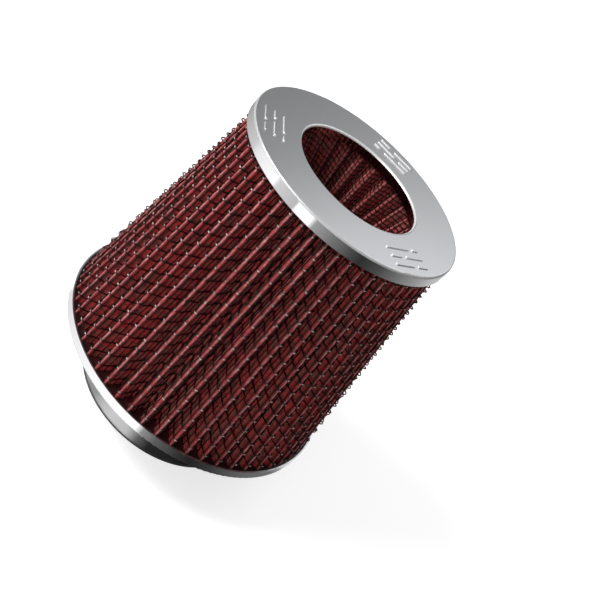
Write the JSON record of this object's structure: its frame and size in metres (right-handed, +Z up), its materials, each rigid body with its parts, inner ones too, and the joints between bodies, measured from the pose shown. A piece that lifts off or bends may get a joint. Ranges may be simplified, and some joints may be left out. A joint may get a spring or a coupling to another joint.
{
  "type": "clamp-on air filter",
  "caption": "Tapered clamp-on intake air filter with pleated red cotton gauze under wire screens, a chromed cap and base ring, a reverse cone in the cap and a rubber flange.",
  "frame": {"origin": "centre of the flange's open end, on the filter's axis and in the plane that the filter stands on", "axes": "+Z up along the filter's axis, from the flange to the chromed cap; +X and +Y across it, with -Y towards the viewer"},
  "size_m": [0.146, 0.146, 0.1637],
  "materials": {
    "chrome": "polished chrome plate, satin on the cap's face",
    "steel": "plain pressed steel",
    "rubber": "moulded, semi-gloss",
    "resin": "cast potting resin",
    "cotton": "open woven gauze, dyed red by filter oil",
    "wire": "coated woven wire",
    "fine_wire": "coated fine woven wire"
  },
  "bodies": {
    "root": {"flange": "rubber", "base_ring": "chrome", "base_potting": "resin", "top_cap": "chrome", "top_potting": "resin", "outer_screen": "wire", "outer_gauze_1": "cotton", "outer_gauze_2": "cotton", "outer_gauze_3": "cotton", "outer_gauze_4": "cotton", "outer_backing_screen": "fine_wire", "cone_screen": "fine_wire", "cone_gauze_1": "cotton", "cone_gauze_2": "cotton", "cone_gauze_3": "cotton", "cone_gauze_4": "cotton", "cone_backing_screen": "fine_wire", "cone_end_cap": "steel", "cone_potting": "resin"}
  },
  "joints": []
}
